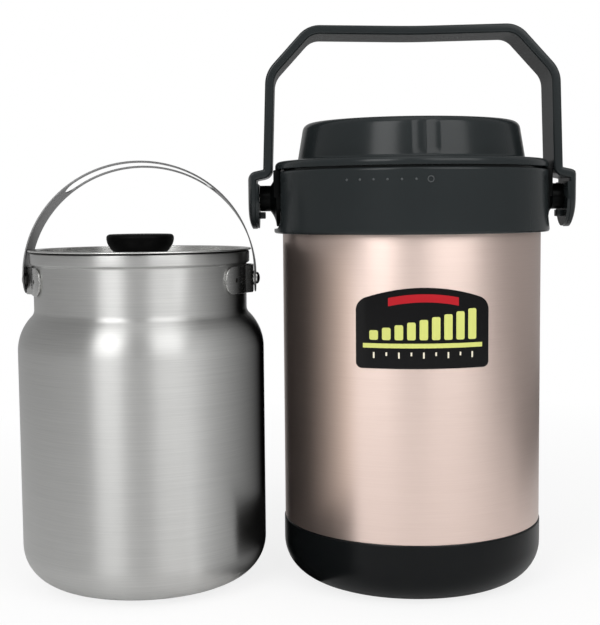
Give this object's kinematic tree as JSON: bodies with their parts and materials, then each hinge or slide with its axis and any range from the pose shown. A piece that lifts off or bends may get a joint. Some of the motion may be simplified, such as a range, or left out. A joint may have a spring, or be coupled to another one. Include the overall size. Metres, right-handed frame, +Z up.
{
  "type": "thermal cooker",
  "caption": "Thermal cooker: an insulated steel vessel with a twist-lock lid and a folding carry handle, and its lidded cooking pot with a bail standing beside it.",
  "frame": {"origin": "middle of the cooker's foot, on the surface it stands on", "axes": "+X to the right seen from the front (the pot stands at -X), +Y away from the front, +Z up"},
  "size_m": [0.3452, 0.1706, 0.3409],
  "materials": {
    "champagne_steel": "satin champagne lacquer over brushed steel",
    "stainless_steel": "brushed round the piece",
    "solder": "dull",
    "black_plastic": "satin",
    "charcoal_plastic": "gloss",
    "silicone": "matt",
    "label_film": "gloss printed film",
    "rigid_foam": "closed-cell foam"
  },
  "bodies": {
    "cooker": {"outer_shell": "champagne_steel", "inner_liner": "stainless_steel", "vessel_bottom": "stainless_steel", "vacuum_getter": "stainless_steel", "vacuum_seal": "solder", "base_cup": "black_plastic", "collar": "charcoal_plastic", "mouth_seal": "silicone", "left_hub": "black_plastic", "right_hub": "black_plastic", "left_pivot_pin": "stainless_steel", "right_pivot_pin": "stainless_steel", "label_plate": "label_film"},
    "lid_seal": {"lid_gasket": "silicone"},
    "lid": {"lid_cover": "charcoal_plastic", "lid_insulation": "rigid_foam", "lid_liner": "charcoal_plastic"},
    "handle": {"carry_handle": "charcoal_plastic"},
    "pot": {"pot_shell": "stainless_steel", "pot_heat_disc": "stainless_steel", "left_bracket": "stainless_steel", "right_bracket": "stainless_steel", "left_rivet": "stainless_steel", "right_rivet": "stainless_steel", "bail_washers": "stainless_steel"},
    "bail": {"pot_bail": "stainless_steel"},
    "pot_lid": {"pot_lid_pan": "stainless_steel", "pot_lid_knob": "black_plastic", "knob_screw": "stainless_steel", "knob_washer": "stainless_steel"}
  },
  "joints": [
    {"name": "lid_lift", "type": "slide", "parent": "cooker", "child": "lid_seal", "axis": [0, 0, 1], "range_m": [0, 0.024]},
    {"name": "lid_turn", "type": "hinge", "parent": "lid_seal", "child": "lid", "pos_m": [0, 0, 0.2544], "axis": [0, 0, -1], "range_deg": [0, 33]},
    {"name": "handle_swing", "type": "hinge", "parent": "cooker", "child": "handle", "pos_m": [0, 0, 0.237], "axis": [1, 0, 0], "range_deg": [-113, 113]},
    {"name": "pot_lift", "type": "slide", "parent": "cooker", "child": "pot", "axis": [-0.5, 0, 0.866], "range_m": [0, 0.2]},
    {"name": "pot_bail_swing", "type": "hinge", "parent": "pot", "child": "bail", "pos_m": [-0.16831, -0.008, 0.188], "axis": [1, 0, 0], "range_deg": [-92, 108]},
    {"name": "pot_lid_turn", "type": "hinge", "parent": "pot", "child": "pot_lid", "pos_m": [-0.16831, -0.008, 0.205], "axis": [0, 0, 1], "continuous": true}
  ]
}
